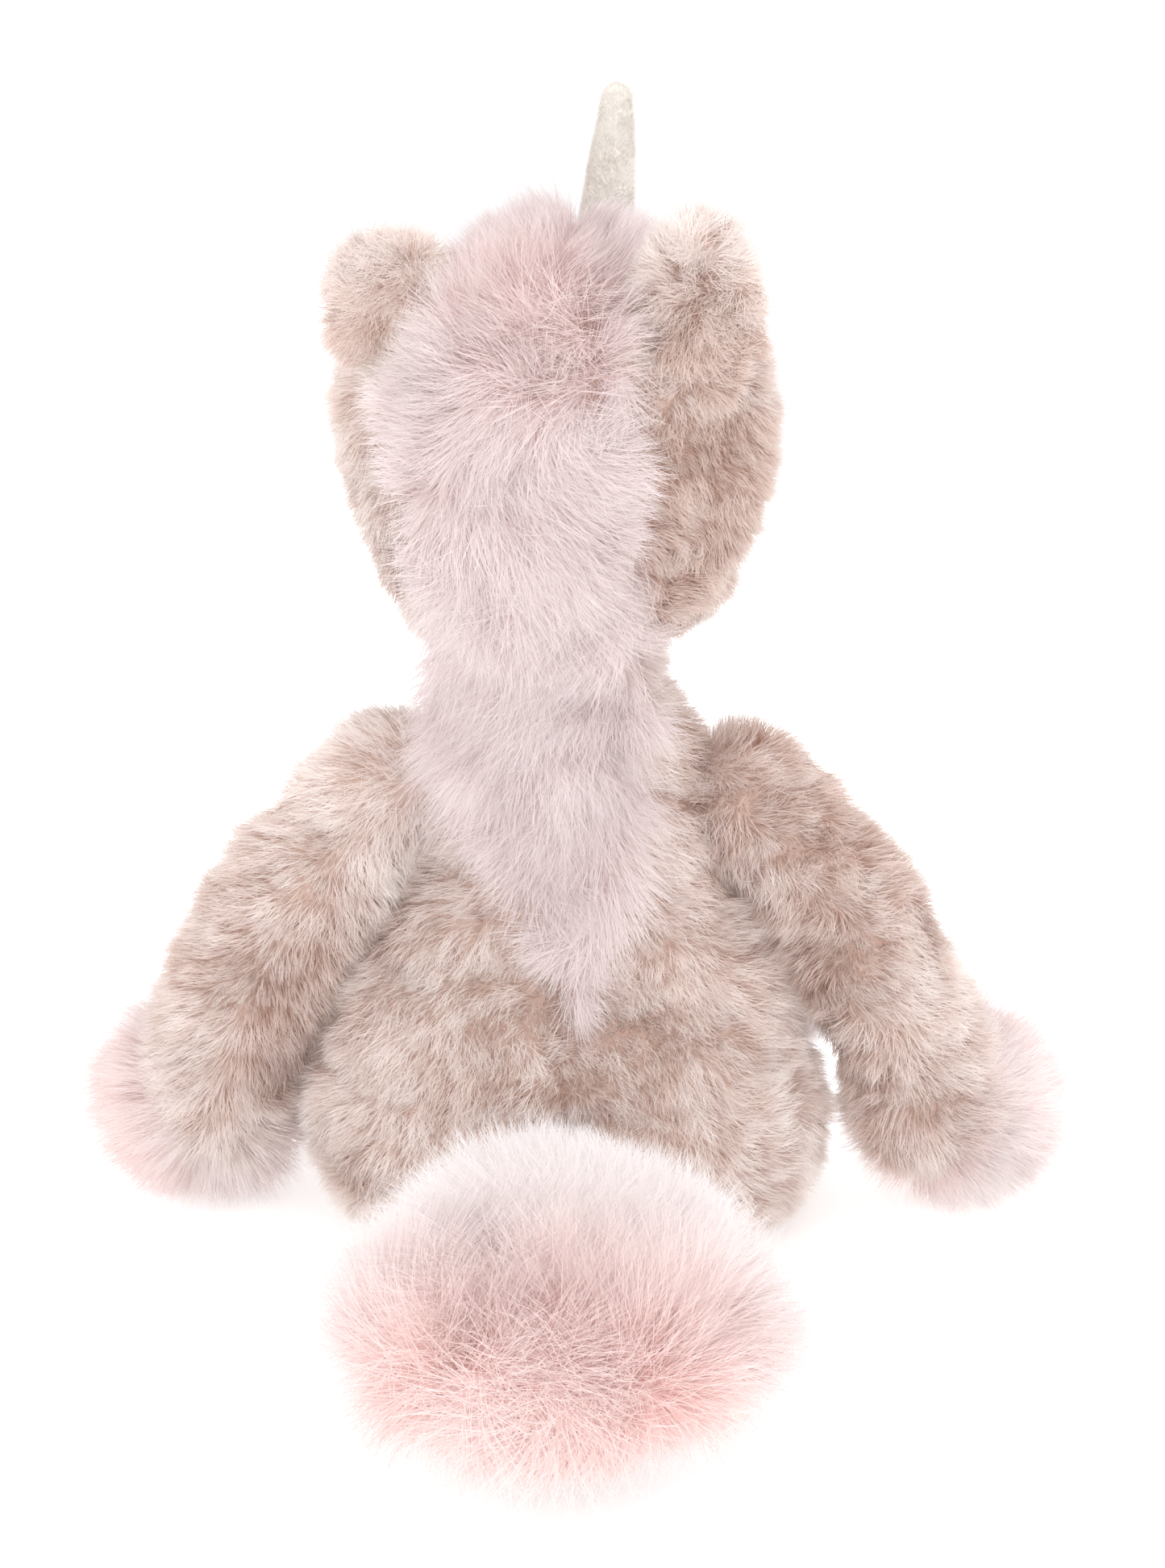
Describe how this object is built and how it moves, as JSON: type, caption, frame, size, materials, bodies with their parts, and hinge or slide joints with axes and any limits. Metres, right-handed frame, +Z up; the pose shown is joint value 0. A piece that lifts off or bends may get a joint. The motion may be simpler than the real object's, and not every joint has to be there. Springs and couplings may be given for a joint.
{
  "type": "plush unicorn",
  "caption": "Sitting plush unicorn with a long-pile mane, cuffs and tail, a velour horn and soft limbs that bend at their roots",
  "frame": {"origin": "middle of the flat seat patch, on the surface that the toy sits on", "axes": "+Z up; the toy faces -Y and its tail lies towards +Y; +X is the toy's own left"},
  "size_m": [0.2778, 0.3893, 0.3131],
  "materials": {
    "beige_plush": "matte",
    "pink_long_pile": "matte",
    "cream_velour": "matte",
    "pink_velour": "matte",
    "fibre_filling": "matte",
    "bag_cloth": "matte",
    "eye_plastic": "gloss",
    "washer_plastic": "matte",
    "embroidery_thread": "satin"
  },
  "bodies": {
    "torso": {"left_back_panel": "beige_plush", "right_back_panel": "beige_plush", "belly_panel": "beige_plush", "seat_panel": "beige_plush", "torso_stuffing": "fibre_filling", "pellet_bag": "bag_cloth", "back_mane": "pink_long_pile"},
    "neck": {"neck_stuffing": "fibre_filling"},
    "head": {"left_head_panel": "beige_plush", "right_head_panel": "beige_plush", "head_stuffing": "fibre_filling", "head_mane": "pink_long_pile", "muzzle_cover": "cream_velour", "muzzle_stuffing": "fibre_filling", "mouth_stitch": "embroidery_thread", "left_nostril": "embroidery_thread", "right_nostril": "embroidery_thread", "left_eye": "eye_plastic", "right_eye": "eye_plastic", "left_eye_washer": "washer_plastic", "right_eye_washer": "washer_plastic"},
    "left_ear": {"left_ear_cover": "beige_plush", "left_ear_lining": "pink_velour"},
    "right_ear": {"right_ear_cover": "beige_plush", "right_ear_lining": "pink_velour"},
    "horn": {"horn_cover": "cream_velour", "horn_stuffing": "fibre_filling"},
    "left_shoulder": {"left_shoulder_stuffing": "fibre_filling"},
    "left_arm": {"left_arm_sleeve": "beige_plush", "left_arm_stuffing": "fibre_filling", "left_arm_cuff": "pink_long_pile", "left_arm_hoof": "beige_plush", "left_arm_hoof_stuffing": "fibre_filling"},
    "left_hip": {"left_hip_stuffing": "fibre_filling"},
    "left_leg": {"left_leg_sleeve": "beige_plush", "left_leg_stuffing": "fibre_filling", "left_leg_cuff": "pink_long_pile", "left_leg_hoof": "beige_plush", "left_leg_hoof_stuffing": "fibre_filling", "left_foot_pad": "pink_velour"},
    "right_shoulder": {"right_shoulder_stuffing": "fibre_filling"},
    "right_arm": {"right_arm_sleeve": "beige_plush", "right_arm_stuffing": "fibre_filling", "right_arm_cuff": "pink_long_pile", "right_arm_hoof": "beige_plush", "right_arm_hoof_stuffing": "fibre_filling"},
    "right_hip": {"right_hip_stuffing": "fibre_filling"},
    "right_leg": {"right_leg_sleeve": "beige_plush", "right_leg_stuffing": "fibre_filling", "right_leg_cuff": "pink_long_pile", "right_leg_hoof": "beige_plush", "right_leg_hoof_stuffing": "fibre_filling", "right_foot_pad": "pink_velour"},
    "tail_root": {"tail_root_stuffing": "fibre_filling"},
    "tail": {"tail_cover": "pink_long_pile", "tail_stuffing": "fibre_filling"}
  },
  "joints": [
    {"name": "neck_turn", "type": "hinge", "parent": "torso", "child": "neck", "pos_m": [0, 0.001, 0.163], "axis": [0, 0, 1], "range_deg": [-35, 35]},
    {"name": "neck_nod", "type": "hinge", "parent": "neck", "child": "head", "pos_m": [0, 0.001, 0.163], "axis": [-0.9724, 0.2334, 0], "range_deg": [-12, 20], "stiffness_Nm_per_rad": 1},
    {"name": "left_ear_fold", "type": "hinge", "parent": "head", "child": "left_ear", "pos_m": [0.04506, 0.01011, 0.254], "axis": [0.9724, -0.2334, 0], "range_deg": [-24, 24], "stiffness_Nm_per_rad": 0.02},
    {"name": "right_ear_fold", "type": "hinge", "parent": "head", "child": "right_ear", "pos_m": [-0.03273, 0.02879, 0.254], "axis": [0.9724, -0.2334, 0], "range_deg": [-24, 24], "stiffness_Nm_per_rad": 0.02},
    {"name": "horn_lean", "type": "hinge", "parent": "head", "child": "horn", "pos_m": [-0.00897, -0.02217, 0.262], "axis": [0.9724, -0.2334, 0], "range_deg": [-8, 8], "stiffness_Nm_per_rad": 0.02},
    {"name": "left_arm_raise", "type": "hinge", "parent": "torso", "child": "left_shoulder", "pos_m": [0.048, 0.003, 0.126], "axis": [0, -1, 0], "range_deg": [0, 55]},
    {"name": "left_arm_swing", "type": "hinge", "parent": "left_shoulder", "child": "left_arm", "pos_m": [0.048, 0.003, 0.126], "axis": [-1, 0, 0], "range_deg": [-20, 75]},
    {"name": "left_leg_spread", "type": "hinge", "parent": "torso", "child": "left_hip", "pos_m": [0.038, -0.04, 0.03], "axis": [0, 0, 1], "range_deg": [-3, 18]},
    {"name": "left_leg_lift", "type": "hinge", "parent": "left_hip", "child": "left_leg", "pos_m": [0.038, -0.04, 0.03], "axis": [-1, 0, 0], "range_deg": [-30, 38]},
    {"name": "right_arm_raise", "type": "hinge", "parent": "torso", "child": "right_shoulder", "pos_m": [-0.048, 0.003, 0.124], "axis": [0, 1, 0], "range_deg": [0, 55]},
    {"name": "right_arm_swing", "type": "hinge", "parent": "right_shoulder", "child": "right_arm", "pos_m": [-0.048, 0.003, 0.124], "axis": [-1, 0, 0], "range_deg": [-20, 75]},
    {"name": "right_leg_spread", "type": "hinge", "parent": "torso", "child": "right_hip", "pos_m": [-0.038, -0.04, 0.03], "axis": [0, 0, -1], "range_deg": [-3, 18]},
    {"name": "right_leg_lift", "type": "hinge", "parent": "right_hip", "child": "right_leg", "pos_m": [-0.038, -0.04, 0.03], "axis": [-1, 0, 0], "range_deg": [-30, 38]},
    {"name": "tail_swing", "type": "hinge", "parent": "torso", "child": "tail_root", "pos_m": [0.002, 0.055, 0.033], "axis": [0, 0, 1], "range_deg": [-20, 20]},
    {"name": "tail_lift", "type": "hinge", "parent": "tail_root", "child": "tail", "pos_m": [0.002, 0.055, 0.033], "axis": [1, 0, 0], "range_deg": [-30, 20]}
  ]
}
